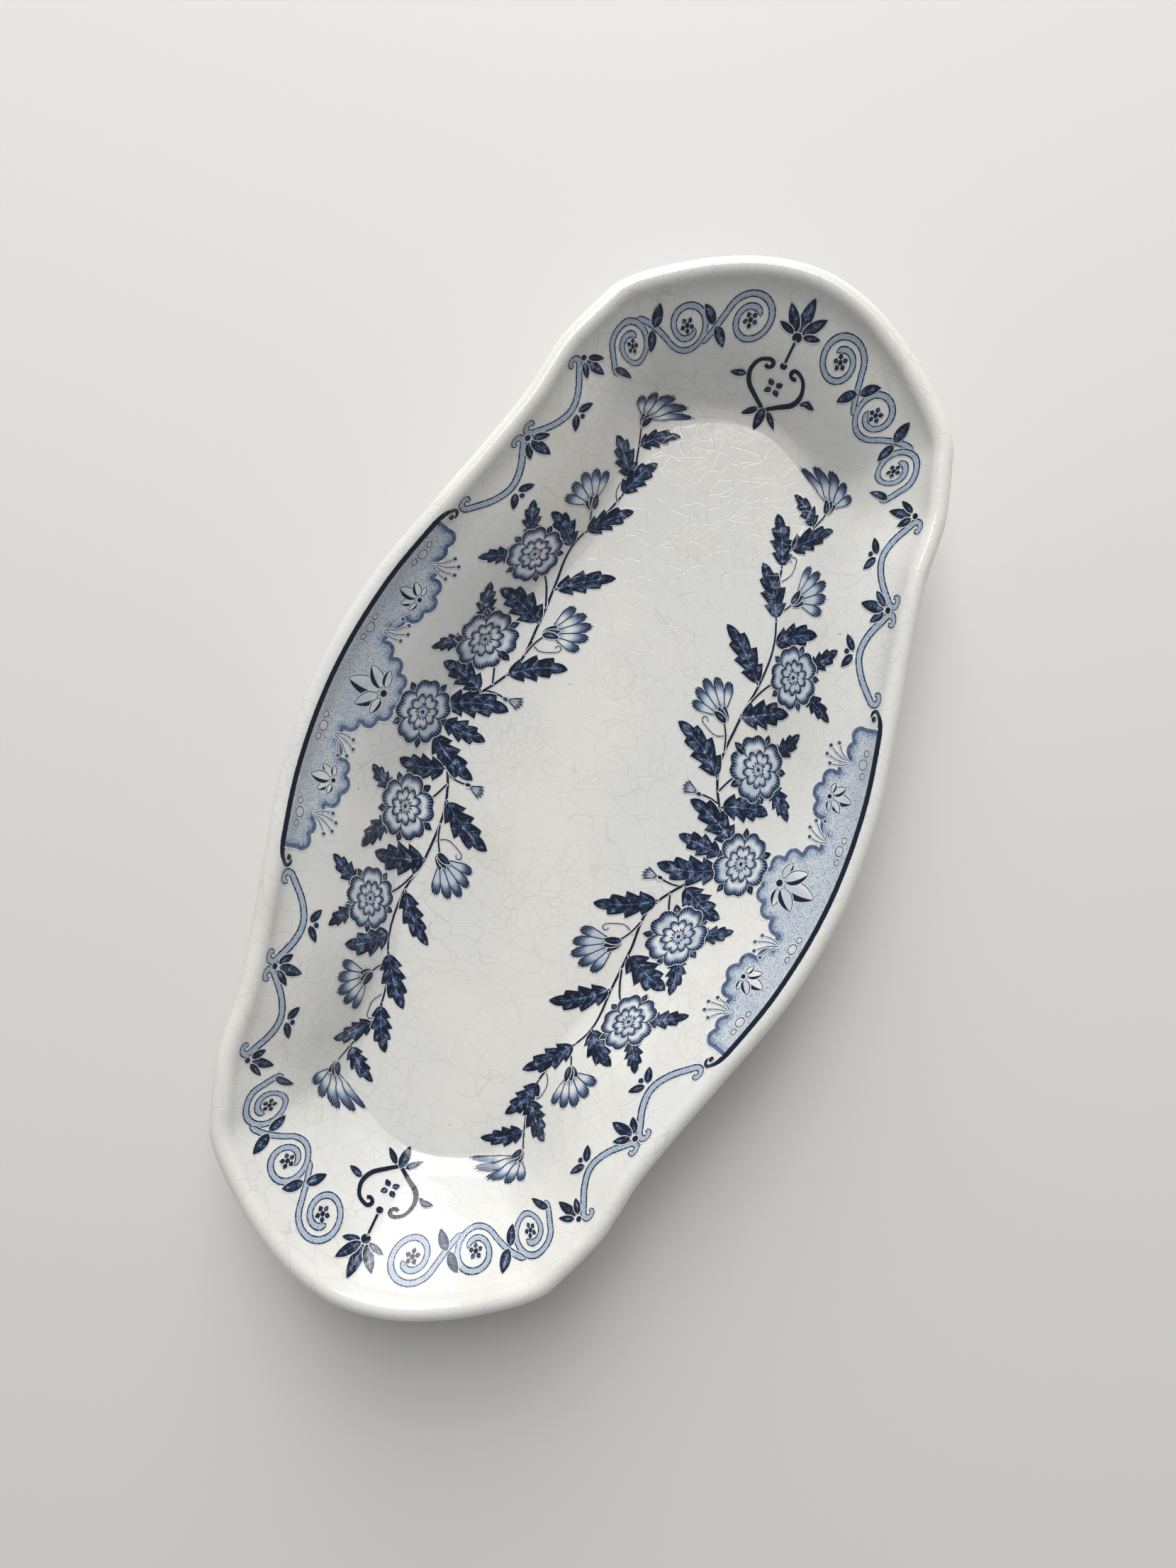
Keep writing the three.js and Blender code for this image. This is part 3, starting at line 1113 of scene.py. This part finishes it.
def layPrint(kind, name, proud, density):  # joins the films of a kind and lays them on the dish
    parts = films[kind]
    bpy.ops.object.select_all(action="DESELECT")
    for part in parts:
        part.select_set(True)
    bpy.context.view_layer.objects.active = parts[0]
    bpy.ops.object.join()
    piece = bpy.context.object
    piece.name = piece.data.name = name
    bm = editMode(piece)
    bpy.ops.mesh.select_all(action="DESELECT")
    for face in bm.faces:
        face.select_set(face.normal.z < 0)
    bpy.ops.mesh.flip_normals()
    objectMode(piece)
    bpy.ops.object.shade_smooth()
    drop = piece.modifiers.new("drop", "SHRINKWRAP")
    drop.target = dishGlazed
    drop.wrap_method = "PROJECT"
    drop.wrap_mode = "ABOVE_SURFACE"
    drop.use_project_z = True
    drop.use_positive_direction = False
    drop.use_negative_direction = True
    drop.offset = proud * mm
    lift = piece.modifiers.new("lift", "DISPLACE")
    lift.direction = "Z"
    lift.mid_level = 0
    lift.strength = ink["layers"] * ink["layerStep"] * mm
    lift.vertex_group = "layer"
    thick = piece.modifiers.new("thick", "SOLIDIFY")
    thick.thickness = (proud + ink["layers"] * ink["layerStep"] + ink["under"]) * mm
    thick.offset = -1
    gloss = piece.modifiers.new("gloss", "DATA_TRANSFER")
    gloss.object = dishGlazed
    gloss.use_loop_data = True
    gloss.data_types_loops = {"CUSTOM_NORMAL"}
    gloss.loop_mapping = "POLYINTERP_NEAREST"
    for modifier in ("drop", "lift", "thick", "gloss"):
        bpy.ops.object.modifier_apply(modifier=modifier)
    piece.data.materials.append(inkMaterial(kind + "Ink", density))
    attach(piece, "root")
    print(name, len(piece.data.polygons), "faces")


prints = [  # kind of film, piece, millimetres proud, ink
    ("bars", "print_border_lines", 0.05, lineDensity),
    ("borderFill", "print_border_ground", 0.075, fillDensity),
    ("scrolls", "print_scrolls", 0.05, bandDensity),
    ("lines", "print_lines", 0.1, lineDensity),
    ("reserves", "print_reserves", 0.12, reserveDensity),
    ("leaves", "print_leaves", 0.12, leafDensity),
    ("blossoms", "print_blossoms", 0.14, blossomDensity),
    ("pinks", "print_pinks", 0.14, pinkDensity),
    ("calyx", "print_calyxes", 0.16, leafDensity),
]
for row in prints:
    layPrint(*row)

# the room: a pale floor, a tall window past the dish's +X end, a smaller one high over it,
# and a dim soft sky
room = {
    "floorSize": 12.0,
    "floorColour": (0.68, 0.67, 0.65, 1),
    "floorRoughness": 0.7,
    "windows": [  # name, degrees over the horizon, height and width, power
        ("window", 20, (1.3, 0.95), 19.0),
        ("highWindow", 55, (0.8, 0.8), 13.0),
    ],
    "windowTurn": 26,  # degrees from +X towards +Y
    "windowAway": 1.5,
    "skyColour": (0.97, 0.98, 1, 1),
    "skyLow": 0.34,
    "skyOverhead": 0.28,
    "cameraOverRim": 250,  # millimetres, as the rest of the camera
    "cameraAside": (1.463, -0.881),
    "cameraTurn": -64.42,
    "frameHigh": 333,  # what the frame's long side covers at the rim
    "sensor": 36,
}

bpy.ops.mesh.primitive_plane_add(size=room["floorSize"], location=(0, 0, 0))
floorSheet = bpy.context.object
floorSheet.name = "floor"
floorPaint = newMaterial("paleFloor")[0]
floorShader = floorPaint.node_tree.nodes["Principled BSDF"]
floorShader.inputs["Base Color"].default_value = room["floorColour"]
floorShader.inputs["Roughness"].default_value = room["floorRoughness"]
floorSheet.data.materials.append(floorPaint)

world = bpy.data.worlds.new("studio")
bpy.context.scene.world = world
world.use_nodes = True
sky = Value(world.node_tree)
up = sky.node("SeparateXYZ", {0: sky.node("TexCoord", output="Generated")}, 2)
background = world.node_tree.nodes["Background"]
background.inputs["Color"].default_value = room["skyColour"]
strength = up.below(0.35, 0.95) * (room["skyLow"] - room["skyOverhead"]) + room["skyOverhead"]
world.node_tree.links.new(strength.socket, background.inputs["Strength"])

turn = math.radians(room["windowTurn"])
away = room["windowAway"]
for name, degrees, size, power in room["windows"]:
    high = math.radians(degrees)
    level = away * math.cos(high)
    bpy.ops.object.light_add(
        type="AREA",
        location=(level * math.cos(turn), level * math.sin(turn), away * math.sin(high)),
        rotation=(0, math.pi / 2 - high, turn),
    )
    window = bpy.context.object
    window.name = name
    window.data.shape = "RECTANGLE"
    window.data.size, window.data.size_y = size
    window.data.energy = power

x, y = room["cameraAside"]
bpy.ops.object.camera_add(
    location=(x * mm, y * mm, (dish["height"] + room["cameraOverRim"]) * mm),
    rotation=(0, 0, math.radians(room["cameraTurn"])),
)
camera = bpy.context.object
camera.data.sensor_fit = "VERTICAL"
camera.data.sensor_height = room["sensor"]
camera.data.lens = room["sensor"] * room["cameraOverRim"] / room["frameHigh"]
camera.data.clip_start = 0.01
bpy.context.scene.camera = camera
bpy.context.scene.view_settings.view_transform = "Standard"
print("room")
